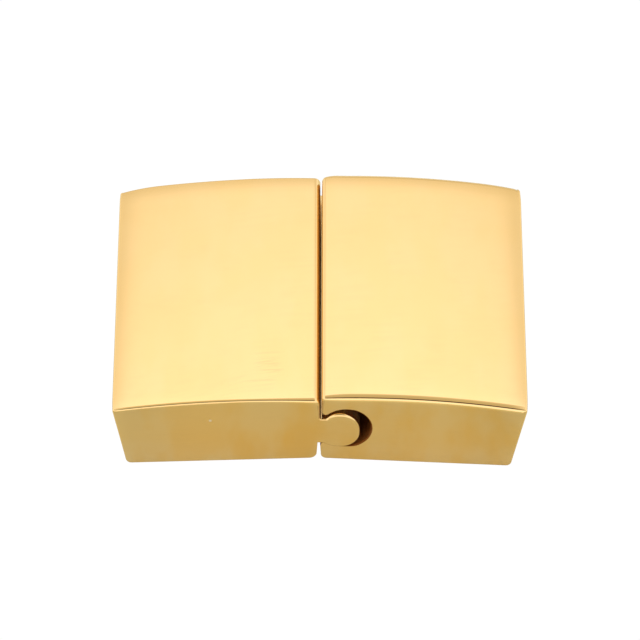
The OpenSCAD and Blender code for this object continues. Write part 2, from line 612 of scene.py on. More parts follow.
    @property
    def joint_corner(self) -> Corner:
        """Top corner beside the joint.

        Returns:
            The corner between the arched top and the upright wall.
        """
        return Corner(
            self.arch_spot(self.face),
            direction(self.arch_angle(self.face) - 90.0),
            Vector((0.0, -1.0)),
            self.brow_round,
        )

    def body(self, outline: Outline, wall_start: Vector, wall_edge: float) -> None:
        """Draws the body from the wall below the tongue round to the wall above it.

        Args:
            outline: The profile, drawn on.
            wall_start: Point from which the lower wall goes down to the bottom corner.
            wall_edge: Edge rounding there.
        """
        inner, foot = self.inner_corner, self.foot_corner
        end, joint = self.end_corner, self.joint_corner
        down, under = 180.0 + self.lower_lean, 270.0 - self.underside_rise
        small, growing = (self.small_edge, self.small_edge), (self.fine_edge, self.small_edge)
        outline.line(wall_start, inner.start, (wall_edge, self.fine_edge), GapShade.LOWER_WALL.value)
        outline.arc(inner.centre, inner.radius, sweep(down, under, growing))
        outline.line(inner.end, foot.start, small)
        outline.arc(foot.centre, foot.radius, sweep(under, 360.0 - self.end_lean, small))
        outline.line(foot.end, end.start, small, mouth=True)
        top, ending = self.arch_angle(self.length), (self.small_edge, self.end_top_edge)
        outline.arc(end.centre, end.radius, sweep(-self.end_lean, top, ending, step=9.0))
        self._arch(outline, end.end.x, joint.start.x)
        turn, middle = self.brow_turn, (self.joint_edge + 2.0 * self.wall_edge) / 3.0
        upper, lower = (self.joint_edge, middle), (middle, self.wall_edge)
        clean = sweep(self.arch_angle(self.face), turn, upper, step=5.0)
        outline.arc(joint.centre, joint.radius, clean)
        # Down into the joint the round takes the dark layer of painted shade.
        dull = sweep(turn, 180.0, lower, step=5.0)
        outline.arc(joint.centre, joint.radius, dull, inner=GapShade.BROW.value)

    def _arch(self, outline: Outline, out: float, near: float) -> None:
        """Draws the arched top, with more points where its edge rounding or its polish changes.

        Args:
            outline: The profile, drawn on.
            out: Outward distance where the top starts, at the strap end.
            near: Outward distance where it ends, beside the joint.
        """
        grown, straight = out - self.end_ramp, out - self.end_rolloff_width
        stretches = ((out, grown, 6), (grown, straight, 10), (straight, near, 48))
        spots = []
        for start, end, count in stretches:
            spots.extend(start + (end - start) * k / count for k in range(count))
        for spot in [*spots, near]:
            lean = self.end_rolloff * max(0.0, 1.0 - (out - spot) / self.end_rolloff_width) ** 2
            share = smooth((out - spot) / self.end_ramp)
            edge = self.end_top_edge + (self.top_edge - self.end_top_edge) * share
            edge += (self.joint_edge - edge) * max(0.0, 1.0 - (spot - near) / self.joint_ramp) ** 2
            outline.point(self.arch_spot(spot), direction(self.arch_angle(spot) - lean), edge)

    def place(self, out: float, y: float, z: float) -> Vector:
        """Point or direction in the clasp's own axes, from its outward distance, Y and Z."""
        return Vector((self.side.value * out, y, z))

    def _stations(self, edge: float) -> list[tuple[float, float, float]]:
        """Sections across the width.

        Args:
            edge: Edge rounding.

        Returns:
            Inset, Y and lean of the normal toward +Y of each section, from front to back.
        """
        front = self._side_stations(edge, math.radians(self.rolloff), self.rolloff_width)
        back = self._side_stations(edge, math.radians(self.back_rolloff), self.back_rolloff_width)
        return front + [(inset, -y, -lean) for inset, y, lean in reversed(back)]

    def _side_stations(self, edge: float, roll: float, width: float) -> list[tuple[float, float, float]]:
        """Sections of the front half of the width.

        Args:
            edge: Edge rounding.
            roll: Lean of the polish toward the edge, in radians.
            width: Width over which it leans.

        Returns:
            Inset, Y and lean of each section, from the front face inward.
        """
        lip, start = math.radians(self.lip_roll), edge - self.half_width
        made = []
        for k in range(self.edge_steps + 1):
            turn = math.pi / 2.0 * (1.0 - k / self.edge_steps)
            lean = turn + (roll + lip) * (1.0 - turn * 2.0 / math.pi) ** 2
            made.append((edge * (1.0 - math.cos(turn)), start - edge * math.sin(turn), -lean))
        for reach in [share * over for over in (self.lip_width, width) for share in (0.3, 0.6, 1.0)]:
            lean = roll * (1.0 - reach / width) ** 2 + lip * max(0.0, 1.0 - reach / self.lip_width) ** 2
            made.append((0.0, start + reach, -lean))
        return made

    def loft(self, shell: Shell, outline: Outline) -> None:
        """Carries the profile across the width and closes its front and back.

        Args:
            shell: Mesh that takes the faces.
            outline: The side profile.
        """
        runs = outline.closed()
        for run in runs:
            rows = []
            for point, inward in run:
                row = []
                for inset, y, lean in self._stations(point.edge):
                    flat = point.normal * math.cos(lean)
                    spot = self._drawn(point.spot - inward * inset, y)
                    row.append((spot, self.place(flat.x, math.sin(lean), flat.y)))
                rows.append(row)
            for index, (row, other) in enumerate(zip(rows, rows[1:], strict=False)):
                point, middle = run[index][0], len(row) // 2 - 1
                for k in range(len(row) - 1):
                    corners = (row[k], row[k + 1], other[k + 1], other[k])
                    if point.mouth and k == middle:
                        self._end_face(shell, corners)
                    else:
                        shell.face([c[0] for c in corners], [c[1] for c in corners], point.inner)
        self._close(shell, [point.spot - inward * point.edge for run in runs for point, inward in run])

    def _close(self, shell: Shell, rim: Sequence[Vector]) -> None:
        """Closes the front and the back with even triangles.

        Args:
            shell: Mesh that takes the faces.
            rim: Outward distance and height of each point round the flat of the front.
        """
        cell, past_joint, inside_only, same = 0.5, 3.0, 1, 1e-5
        grid = [
            Vector((cell * step, cell * level))
            for step in range(round(-past_joint / cell), math.ceil(self.length / cell))
            for level in range(1, math.ceil(self.crown / cell))
        ]
        sides = [(k, (k + 1) % len(rim)) for k in range(len(rim))]
        made = delaunay_2d_cdt([*rim, *grid], sides, [], inside_only, same)
        spots, faces, sources = made[0], made[2], made[3]
        for sign in (-1, 1):
            normal = Vector((0.0, sign, 0.0))
            skin = []
            for spot, source in zip(spots, sources, strict=True):
                on_rim = bool(source) and source[0] < len(rim)
                skin.append(self._drawn(rim[source[0]] if on_rim else spot, sign * self.half_width))
            for face in faces:
                shell.face([skin[k] for k in face], [normal] * len(face))

    def _drawn(self, spot: Vector, y: float) -> Vector:
        """Point of the skin, drawn in a little at the corners as polishing leaves them.

        Args:
            spot: Outward distance and height.
            y: Y before it is drawn in.

        Returns:
            The point in the clasp's own axes.
        """
        out = max(0.0, spot.x)
        y *= 1.0 - self.taper * out * max(0.0, spot.y) / (self.crown * self.half_width)
        near = max(0.0, 1.0 - (self.half_width - abs(y)) / self.draw_width)
        if y > 0.0:
            joint = max(0.0, 1.0 - out / self.back_draw_width)
            high = smooth((spot.y - self.back_draw_z) / self.back_draw_rise)
            end = max(0.0, 1.0 - (self.length - out) / self.end_draw_width)
            tip = max(0.0, 1.0 - (self.length - out) / self.tip_draw_width)
            drawn = self.back_draw * high * joint**2 + self.end_draw * end**2 + self.tip_draw * tip
            y -= min(1.0, self.back_growth * near) * drawn
        return self.place(spot.x * (1.0 - self.draw * near**2), y, spot.y)

    def _hollow(self, section: RoundedBox, out: float) -> Loop:
        """Sets a section of the pocket at its place.

        Args:
            section: The section.
            out: Outward distance.

        Returns:
            The section's loop, its normals pointing into the hollow.
        """
        return [
            (self.place(out, spot.x, spot.y), Vector((0.0, -away.x, -away.y)))
            for spot, away in section.loop()
        ]

    def _end_face(self, shell: Shell, corners: Loop) -> None:
        """Fills the end face around the pocket's mouth, and builds the pocket.

        Args:
            shell: Mesh that takes the faces.
            corners: The face's four corners.
        """
        pocket, low, high, normal = self.pocket, corners[0][0], corners[3][0], corners[0][1]
        slope, middle = (high.x - low.x) / (high.z - low.z), (low.z + high.z) / 2.0

        def on_face(y: float, z: float, depth: float) -> Vector:
            """Point below the end face's plane by a depth along X."""
            return Vector((low.x + slope * (z - low.z) - self.side.value * depth, y, z))

        around = {(spot.y > 0.0, spot.z > middle): spot for spot, _ in corners}
        outer = [(around[spot.x > 0.0, spot.y > middle], normal) for spot, _ in pocket.mouth.loop()]
        rings = []
        for k in range(pocket.lip_steps + 1):
            turn = math.pi / 2.0 * k / pocket.lip_steps
            grow, depth = pocket.lip * (1.0 - math.sin(turn)), pocket.lip * (1.0 - math.cos(turn))
            ring = []
            for spot, away in pocket.mouth.loop(grow):
                lean = normal * math.cos(turn) - Vector((0.0, away.x, away.y)) * math.sin(turn)
                ring.append((on_face(spot.x, spot.y, depth), lean))
            rings.append(ring)
        shell.band(outer, rings[0])
        # Inward from the lip the pocket takes more of the dark layer of painted shade.
        for ring, other in zip(rings, rings[1:], strict=False):
            shell.band(ring, other, PocketShade.LIP.value)
        deep = self._hollow(pocket.mouth, pocket.end)
        shell.band(rings[-1], deep, PocketShade.WALL.value)
        rim = self._hollow(pocket.recess, pocket.end)
        back = self._hollow(pocket.recess, pocket.recess_end)
        facing = self.place(1.0, 0.0, 0.0)
        wall = [[(spot, facing) for spot, _ in loop] for loop in (deep, rim)]
        shell.band(*wall, PocketShade.END.value)
        shell.band(rim, back, PocketShade.RECESS.value)
        shell.cap([spot for spot, _ in back], facing, PocketShade.RECESS.value)


@dataclass(frozen=True)
class TongueHalf(Half):
    """Left half, with the round-nosed tongue along its joint side.

    Attributes:
        bulb: Centre of the bulb, in outward distance and height.
        bulb_radius: Its radius.
        crest_radius: Radius of its tighter crest, on the side of the neck.
        crest_angle: Angle above the horizontal at which the crest leaves the bulb.
        toe_radius: Radius of its fuller lower front corner.
        neck_z: Height of the neck's upper side.
        neck_round: Hollow rounding between neck and bulb.
        root_round: Hollow rounding between neck and wall.
        root_edge: Rounding of the front and back edges at the neck.
        crest_edge: Rounding of the crest's front and back edges.
        toe_edge: Rounding of the front and back edges at the tongue's tip.
        seam_edge: Rounding of the edges where the tongue rests on the lower lip.
    """

    bulb: tuple[float, float] = (-1.32, 3.51)
    bulb_radius: float = 1.6
    crest_radius: float = 1.15
    crest_angle: float = 72.0
    toe_radius: float = 1.3
    neck_z: float = 4.59
    neck_round: float = 0.3
    root_round: float = 0.08
    root_edge: float = 0.1
    crest_edge: float = 0.24
    toe_edge: float = 0.12
    seam_edge: float = 0.005

    def profile(self) -> Outline:
        """Draws the side profile.

        Returns:
            The closed profile, from the corner under the tongue round to the tongue.
        """
        # The neck and the bulb inside the joint take shares of the dark layer of painted shade.
        outline, shade_layer = Outline(), GapShade.NECK.value
        bulb, root = Vector(self.bulb), Vector((self.lower_face, self.under_z))
        self.body(outline, root, self.fine_edge)
        foot = Vector((self.face, self.neck_z + self.root_round))
        wall_edges, neck_edges = (self.wall_edge, self.root_edge), (self.root_edge, self.root_edge)
        outline.line(self.joint_corner.end, foot, wall_edges, GapShade.WALL.value)
        hollow = foot - Vector((self.root_round, 0.0))
        outline.arc(hollow, self.root_round, sweep(360.0, 270.0, neck_edges), True, shade_layer)
        self._bulb(outline, bulb)
        heel = 360.0 - math.degrees(math.asin((bulb.y - self.under_z) / self.bulb_radius))
        seam = (self.seam_edge, self.seam_edge)
        outline.arc(bulb, self.bulb_radius, sweep(270.0, heel, seam), inner=shade_layer)
        outline.sharp()
        rest = bulb + direction(heel) * self.bulb_radius
        outline.line(rest, root, (self.seam_edge, self.fine_edge), shade_layer)
        return outline

    def _bulb(self, outline: Outline, bulb: Vector) -> None:
        """Draws the neck's hollow round, the crest, the bulb and the toe.

        Args:
            outline: The profile, drawn on.
            bulb: The bulb's centre.
        """
        # The bulb's surfaces take a little of the dark layer of painted shade.
        shade_layer, crest_end = GapShade.BULB.value, 180.0 - self.crest_angle
        crest = bulb + direction(crest_end) * (self.bulb_radius - self.crest_radius)
        height = self.neck_z + self.neck_round
        apart = self.crest_radius + self.neck_round
        hollow = Vector((crest.x + math.sqrt(apart**2 - (height - crest.y) ** 2), height))
        turn = math.degrees(math.asin((height - crest.y) / apart))
        rising, level = (self.root_edge, self.crest_edge), (self.crest_edge, self.crest_edge)
        falling, fading = (self.crest_edge, self.toe_edge), (self.toe_edge, self.seam_edge)
        outline.arc(hollow, self.neck_round, sweep(270.0, 180.0 + turn, rising), True, shade_layer)
        outline.arc(crest, self.crest_radius, sweep(turn, crest_end, level, step=4.0), inner=shade_layer)
        outline.arc(bulb, self.bulb_radius, sweep(crest_end, 180.0, falling, step=4.0), inner=shade_layer)
        toe = bulb + Vector((1.0, 1.0)) * (self.toe_radius - self.bulb_radius)
        outline.arc(toe, self.toe_radius, sweep(180.0, 270.0, fading, step=5.0), inner=shade_layer)


@dataclass(frozen=True)
class SocketHalf(Half):
    """Right half, with the keyhole socket along its joint side.

    Attributes:
        channel: Centre of the round channel, in outward distance and height.
        channel_radius: Its radius.
        ceiling_angle: Angle round the channel at which its ceiling's thinner layer of painted shade ends.
        floor_angle: Angle round it at which its edges start to fade toward the floor.
        bulb: Centre of the bulb that the channel's floor follows.
        floor_radius: Radius of that floor.
        floor_stop: Angle by which the floor ends before the lower lip's level.
        lip_round: Radius of the upper lip's tip.
        lower_lip_z: Height of the lower lip's top.
        lower_lip_round: Rounding of the lower lip's tip.
        lower_lip_edge: Rounding of its front and back edges.
        rim_edge: Rounding of the channel's front and back edges.
        seam_edge: Rounding of the edges on which the tongue rests.
    """

    channel: tuple[float, float] = (1.89, 3.73)
    channel_radius: float = 1.85
    ceiling_angle: float = 75.0
    floor_angle: float = -60.0
    bulb: tuple[float, float] = (1.32, 3.51)
    floor_radius: float = 1.602
    floor_stop: float = 2.0
    lip_round: float = 0.3
    lower_lip_z: float = 2.247
    lower_lip_round: float = 0.25
    lower_lip_edge: float = 0.05
    rim_edge: float = 0.1
    seam_edge: float = 0.005

    def profile(self) -> Outline:
        """Draws the side profile.

        Returns:
            The closed profile, which has no sharp corner.
        """
        # The channel and the lips inside it take the dark layer of painted shade.
        outline, shade_layer = Outline(), GapShade.CHANNEL.value
        channel, bulb, level = Vector(self.channel), Vector(self.bulb), Vector((1.0, 0.0))
        lip_height, wall_top = Vector((0.0, self.lower_lip_z)), Vector((self.lower_face, self.under_z))
        lip_end = meet(lip_height, level, wall_top, self.wall_up)
        lower = Corner(lip_end, level, -self.wall_up, self.lower_lip_round)
        self.body(outline, lower.end, self.lower_lip_edge)
        self._upper_lip(outline, channel)
        falling, seam = (self.rim_edge, self.seam_edge), (self.seam_edge, self.seam_edge)
        fading = sweep(self.floor_angle, -90.0, falling, step=4.0)
        outline.arc(channel, self.channel_radius, fading, True, shade_layer)
        lip_angle = math.degrees(math.asin((bulb.y - self.lower_lip_z) / self.floor_radius)) - 180.0
        floor = sweep(-90.0, lip_angle + self.floor_stop, seam, step=3.0)
        outline.arc(bulb, self.floor_radius, floor, True, shade_layer)
        tip = sweep(90.0, 180.0 + self.lower_lean, (self.seam_edge, self.lower_lip_edge), step=8.0)
        outline.arc(lower.centre, lower.radius, tip, inner=shade_layer)
        return outline

    def _upper_lip(self, outline: Outline, channel: Vector) -> None:
        """Draws the wall above the mouth, the upper lip's round tip and most of the channel.

        Args:
            outline: The profile, drawn on.
            channel: The channel's centre.
        """
        lip_x, apart = self.face + self.lip_round, self.channel_radius + self.lip_round
        lip = Vector((lip_x, channel.y + math.sqrt(apart**2 - (channel.x - lip_x) ** 2)))
        turn = math.degrees(math.atan2(lip.y - channel.y, lip.x - channel.x))
        wall_edges, rim = (self.wall_edge, self.rim_edge), (self.rim_edge, self.rim_edge)
        outline.line(self.joint_corner.end, Vector((self.face, lip.y)), wall_edges, GapShade.WALL.value)
        outline.arc(lip, self.lip_round, sweep(180.0, 180.0 + turn, rim), inner=GapShade.WALL.value)
        ceiling = sweep(turn, self.ceiling_angle, rim, step=4.0)
        outline.arc(channel, self.channel_radius, ceiling, True, GapShade.CEILING.value)
        rest = sweep(self.ceiling_angle, self.floor_angle, rim, step=4.0)
        outline.arc(channel, self.channel_radius, rest, True, GapShade.CHANNEL.value)


@dataclass(frozen=True)
class BarMagnet:
    """Plain bar magnet, flush with the inner end of its strap pocket.

    Attributes:
        side: The half that holds it.
        start: Outward distance of its inner end.
        end: Outward distance of its outer end.
        section: Its section.
        edge: Rounding of its edges.
        edge_steps: Faces across that rounding.
    """

    side: HalfSide
    start: float
    end: float
    section: RoundedBox
    edge: float = 0.12
    edge_steps: int = 4

    def build(self, name: str, material: bpy.types.Material) -> bpy.types.Object:
        """Makes the magnet.

        Args:
            name: Name of the piece.
            material: Its plating.

        Returns:
            The new object.
        """
        shell, rings, sign = Shell(), [], self.side.value
        turns = [math.pi / 2.0 * k / self.edge_steps for k in range(self.edge_steps + 1)]
        stops = [(self.start, turn, -1.0) for turn in reversed(turns)]
        stops += [(self.end, turn, 1.0) for turn in turns]
        for place, turn, way in stops:
            out = sign * (place - way * self.edge * (1.0 - math.sin(turn)))
            ring = []
            for spot, away in self.section.loop(self.edge * (math.cos(turn) - 1.0)):
                flat = away * math.cos(turn)
                normal = Vector((sign * way * math.sin(turn), flat.x, flat.y))
                ring.append((Vector((out, spot.x, spot.y)), normal))
            rings.append(ring)
        for ring, other in zip(rings, rings[1:], strict=False):
            shell.band(ring, other)
        shell.cap([spot for spot, _ in rings[0]], Vector((-sign, 0.0, 0.0)))
        shell.cap([spot for spot, _ in rings[-1]], Vector((sign, 0.0, 0.0)))
        return shell.build(name, material)


@dataclass(frozen=True)
class Graph:
    """Adds nodes to a node tree and links them.

    Attributes:
        tree: The node tree.
        row: Nodes in each row of the editor.
        spacing: Width and height that each node takes there.
    """

    tree: bpy.types.NodeTree
    row: int = 8
    spacing: tuple[float, float] = (220.0, 260.0)

    def add(
        self,
        kind: str,
        values: Mapping[str | int, Value] | None = None,
        **settings: str | bpy.types.NodeTree,
    ) -> bpy.types.Node:
        """Adds a node.

        Args:
            kind: Blender's name of the node type.
            values: Value or source socket of each input.
            settings: Properties of the node.

        Returns:
            The new node.
        """
        node, (width, height) = self.tree.nodes.new(kind), self.spacing
        line, place = divmod(len(self.tree.nodes), self.row)
        node.location = (width * place, -height * line)
        for name, value in settings.items():
            setattr(node, name, value)
        for key, value in (values or {}).items():
            if isinstance(value, bpy.types.NodeSocket):
                self.tree.links.new(value, node.inputs[key])
            else:
                node.inputs[key].default_value = value
        return node

    def math(
        self, operation: str, first: Value, second: Value = 0.0, third: Value = 0.0
    ) -> bpy.types.NodeSocket:
        """Result of a math node on up to three values."""
        return self.add("ShaderNodeMath", {0: first, 1: second, 2: third}, operation=operation).outputs[0]

    def ease(self, value: Value, low: float, high: float) -> bpy.types.NodeSocket:
        """Share from 0 to 1, eased, as a value goes from one limit to another."""
        values = {"Value": value, "From Min": low, "From Max": high}
        return self.add("ShaderNodeMapRange", values, interpolation_type="SMOOTHSTEP").outputs[0]

    def spread(self, value: Value, low: float, high: float) -> bpy.types.NodeSocket:
        """Value from one limit to another as a share goes from 0 to 1."""
        return self.add("ShaderNodeMapRange", {"Value": value, "To Min": low, "To Max": high}).outputs[0]

    def blend(self, share: Value, first: Value, second: Value) -> bpy.types.NodeSocket:
        """Colour between two colours."""
        return self.add("ShaderNodeMix", {0: share, 6: first, 7: second}, data_type="RGBA").outputs[2]

    def noise(
        self,
        where: Value,
        scale: float,
        detail: float,
        stretch: tuple[float, float, float] = (1.0, 1.0, 1.0),
        turn: float = 0.0,
    ) -> bpy.types.NodeSocket:
        """Noise between 0 and 1.

        Args:
            where: Position.
            scale: Patches per metre.
            detail: Octaves.
            stretch: Scale along each axis.
            turn: Turn of the pattern about Z, in degrees.

        Returns:
            The noise's value.
        """
        about_z = (0.0, 0.0, math.radians(turn))
        turned = self.add("ShaderNodeMapping", {"Vector": where, "Rotation": about_z})
        mapped = self.add("ShaderNodeMapping", {"Vector": turned.outputs[0], "Scale": stretch})
        values = {"Vector": mapped.outputs[0], "Scale": scale, "Detail": detail}
        return self.add("ShaderNodeTexNoise", values).outputs["Fac"]


def new_group(name: str, outputs: Sequence[str]) -> tuple[Graph, bpy.types.NodeSocket]:
    """Starts a shader node group that works from a position.

    Args:
        name: Name of the group.
        outputs: Name of each of its values.

    Returns:
        The group's graph and its position.
    """
    tree = bpy.data.node_groups.new(name, "ShaderNodeTree")
    tree.interface.new_socket("Position", in_out="INPUT", socket_type="NodeSocketVector")
    for output in outputs:
        tree.interface.new_socket(output, in_out="OUTPUT", socket_type="NodeSocketFloat")
    graph = Graph(tree)
    return graph, graph.add("NodeGroupInput").outputs["Position"]


def new_material(name: str) -> tuple[bpy.types.Material, Graph]:
    """Starts a material with no nodes.

    Args:
        name: Name of the material.

    Returns:
        The material and the graph of its nodes.
    """
    made = bpy.data.materials.new(name)
    made.use_nodes = True
    made.node_tree.nodes.clear()
    return made, Graph(made.node_tree)


def handling_group() -> bpy.types.NodeTree:
    """Marks of handling that both metals share.

    Returns:
        Group that gives a smudge mask and a mask of fine hairlines from a position.
    """
    graph, where = new_group("handling marks", ("Smudges", "Hairlines"))
    smudges = graph.ease(graph.noise(where, 210.0, 4.0), 0.45, 0.75)
    hairlines: Value = 0.0
    along, per_metre = (0.03, 1.0, 1.0), 4200.0
    for turn, fineness in ((-8.0, 1.0), (-14.0, 1.3), (-3.0, 0.8)):
        lines = graph.noise(where, per_metre * fineness, 1.0, along, turn)
        hairlines = graph.math("MAXIMUM", hairlines, graph.ease(lines, 0.55, 0.68))
    patches = graph.ease(graph.noise(where, 320.0, 1.0), 0.38, 0.58)
    hairlines = graph.math("MULTIPLY", hairlines, patches)
    graph.add("NodeGroupOutput", {"Smudges": smudges, "Hairlines": hairlines})
    return graph.tree


def waves_group() -> bpy.types.NodeTree:
    """Slight waves that polishing leaves on both metals.

    Returns:
        Group that gives a height in metres from a position.
    """
    graph, where = new_group("polishing waves", ("Height",))
    broad_height, fine_height = 3.2e-6, 0.12e-6
    broad = graph.math("MULTIPLY", graph.noise(where, 190.0, 1.0, (1.0, 0.5, 1.0)), broad_height)
    fine = graph.math("MULTIPLY", graph.noise(where, 1500.0, 2.0, (0.3, 1.0, 1.0)), fine_height)
    graph.add("NodeGroupOutput", {"Height": graph.math("ADD", broad, fine)})
    return graph.tree


@dataclass(frozen=True)
class GoldPlate:
    """Polished gold plating, with painted shade as a dark, dull layer on its inner surfaces, and small
    marks.

    Attributes:
        deep: Deeper tint of the plating.
        pale: Paler tint of the plating.
        shade_colour: Colour of the dark layer that paints the shade inside the joint and the pockets.
        worn: Colour of the hairline scratches.
        bright: Colour of the small pit.
        roughness: Roughness of the clean polish.
        smudge_roughness: Roughness that smudges add.
        scratch_roughness: Roughness that hairline scratches add.
        shade_layer_roughness: Roughness that the layer of painted shade adds.
        pit_roughness: Roughness that the pit adds.
        shade_layer_dulling: Share of the metal's sheen that the layer of painted shade takes.
        shade_layer_start: Distance from the middle of the width at which the painted shade starts, in
            metres.
        shade_layer_full: Distance at which it is full, in metres.
        scratch_tint: How much of the scratches' colour shows.
        scratch_rest: Share of the scratches that lies outside the scuffs.
        cloud_strength: Strength of the clouds between both tints, on the top.
        side_cloud_strength: The same on the front and back.
        pale_gain: Share of the paler tint that the front and back gain toward the left end.
        pale_start: X at which they start to be paler, in metres.
        pale_full: X at which they are at their palest, in metres.
        side_swell: How much stronger the polishing waves are on the front and back.
        scuffs: Centre of the patch of light scuffs on the left top, in metres.
        scuff_radius: Its radius, in metres.
        speck: Centre of the small bright pit in the left front face, in metres.
        speck_radius: Its radius, in metres.
    """

    deep: Colour = (1.0, 0.655, 0.205, 1.0)
    pale: Colour = (1.0, 0.745, 0.350, 1.0)
    shade_colour: Colour = (0.22, 0.07, 0.012, 1.0)
    worn: Colour = (0.72, 0.5, 0.24, 1.0)
    bright: Colour = (1.0, 0.86, 0.62, 1.0)
    roughness: float = 0.085
    smudge_roughness: float = 0.03
    scratch_roughness: float = 0.08
    shade_layer_roughness: float = 0.35
    pit_roughness: float = 0.5
    shade_layer_dulling: float = 0.85
    shade_layer_start: float = 0.01175
    shade_layer_full: float = 0.0114
    scratch_tint: float = 0.16
    scratch_rest: float = 0.25
    cloud_strength: float = 0.12
    side_cloud_strength: float = 0.8
    pale_gain: float = 0.42
    pale_start: float = -0.0055
    pale_full: float = -0.0075
    side_swell: float = 2.2
    scuffs: tuple[float, float, float] = (-0.0038, -0.0091, 0.0063)
    scuff_radius: float = 0.0028
    speck: tuple[float, float, float] = (-0.00792, -0.01192, 0.00431)
    speck_radius: float = 0.00015

    def material(self, handling: bpy.types.NodeTree, waves: bpy.types.NodeTree) -> bpy.types.Material:
        """Makes the material.

        Args:
            handling: Group with the marks of handling.
            waves: Group with the polishing waves.

        Returns:
            The material.
        """
        made, graph = new_material("gold_plate")
        coordinates = graph.add("ShaderNodeTexCoord")
        where, normal = coordinates.outputs["Object"], coordinates.outputs["Normal"]
        place = graph.add("ShaderNodeSeparateXYZ", {0: where}).outputs
        facing = graph.add("ShaderNodeSeparateXYZ", {0: normal}).outputs["Y"]
        turned = graph.math("ABSOLUTE", facing)
        sides = graph.ease(turned, 0.95, 0.995)
        shade_layer = self._shade_layer(graph, where, graph.math("ABSOLUTE", place["Y"]))
        plating = graph.blend(self._clouds(graph, where, place["X"], sides), self.deep, self.pale)
        # Painted shade: the dark layer darkens the plating inside the joint and deep in the pockets.
        shade_painted = graph.blend(shade_layer, plating, self.shade_colour)

        marks = graph.add("ShaderNodeGroup", {"Position": where}, node_tree=handling)
        smudges, hairlines = marks.outputs["Smudges"], marks.outputs["Hairlines"]
        scuffed = self._near(graph, where, self.scuffs, self.scuff_radius)
        scratches = graph.math("MULTIPLY", hairlines, graph.spread(scuffed, self.scratch_rest, 1.0))
        pit = self._near(graph, where, self.speck, self.speck_radius)
        worn = graph.blend(graph.math("MULTIPLY", scratches, self.scratch_tint), shade_painted, self.worn)
        colour = graph.blend(pit, worn, self.bright)

        # Under the painted shade the metal also loses its sheen, so that it reads darker.
        metallic = graph.math("MULTIPLY_ADD", shade_layer, -self.shade_layer_dulling, 1.0)
        roughness = graph.math("MULTIPLY_ADD", smudges, self.smudge_roughness, self.roughness)
        roughness = graph.math("MULTIPLY_ADD", scratches, self.scratch_roughness, roughness)
        roughness = graph.math("MULTIPLY_ADD", shade_layer, self.shade_layer_roughness, roughness)
        roughness = graph.math("MULTIPLY_ADD", pit, self.pit_roughness, roughness)

        wavy = graph.add("ShaderNodeGroup", {"Position": where}, node_tree=waves)
        calm = graph.spread(graph.ease(turned, 0.1, 0.3), 1.0, 0.3)
        swell = graph.math("MULTIPLY_ADD", sides, self.side_swell, calm)
        height = graph.math("MULTIPLY", wavy.outputs["Height"], swell)
        bump = graph.add("ShaderNodeBump", {"Strength": 1.0, "Distance": 1.0, "Height": height})
        values = {"Base Color": colour, "Metallic": metallic, "Roughness": roughness}
        values |= {"Specular IOR Level": 0.0, "Normal": bump.outputs[0]}
        shader = graph.add("ShaderNodeBsdfPrincipled", values)
        graph.add("ShaderNodeOutputMaterial", {"Surface": shader.outputs[0]})
        return made

    def _clouds(self, graph: Graph, where: Value, x: Value, sides: Value) -> bpy.types.NodeSocket:
        """Share of the paler tint, in clouds, with more of it toward the left end.

        Args:
            graph: Graph that takes the nodes.
            where: Position.
            x: Its X.
            sides: Mask of the front and back faces.

        Returns:
            The share.
        """
        clouds = graph.ease(graph.noise(where, 330.0, 3.0, (1.0, 0.4, 0.55)), 0.36, 0.66)
        away = graph.math("SUBTRACT", clouds, 0.5)
        faded = graph.math("MULTIPLY", sides, graph.ease(x, self.pale_start, self.pale_full))
        middle = graph.math("MULTIPLY_ADD", faded, self.pale_gain, 0.5)
        strength = graph.spread(sides, self.cloud_strength, self.side_cloud_strength)
        return graph.math("MULTIPLY_ADD", away, strength, middle)

    def _shade_layer(self, graph: Graph, where: Value, across: Value) -> bpy.types.NodeSocket:
        """Mask of the dark, dull layer of painted shade, which thickens away from the front and back
        edges, deeper into the joint and the pockets.

        Args:
            graph: Graph that takes the nodes.
            where: Position.
            across: Distance from the middle of the width.

        Returns:
            The mask.
        """
        inner = graph.add("ShaderNodeAttribute", attribute_name=INNER).outputs["Fac"]
        depth = graph.spread(graph.ease(across, self.shade_layer_start, self.shade_layer_full), inner, 1.0)
        uneven = graph.spread(graph.noise(where, 700.0, 3.0), 0.9, 1.1)
        shade_layer = graph.math("MULTIPLY", graph.math("MULTIPLY", inner, depth), uneven)
        return graph.math("MINIMUM", shade_layer, 1.0)

    @staticmethod
    def _near(
        graph: Graph, where: Value, centre: tuple[float, float, float], radius: float
    ) -> bpy.types.NodeSocket:
        """Mask of a round patch that starts at a radius and is full well inside it.

        Args:
            graph: Graph that takes the nodes.
            where: Position.
            centre: The patch's centre.
            radius: Its radius.

        Returns:
            The mask.
        """
        distance = graph.add("ShaderNodeVectorMath", {0: where, 1: centre}, operation="DISTANCE")
        return graph.ease(distance.outputs["Value"], radius, radius * 0.4)


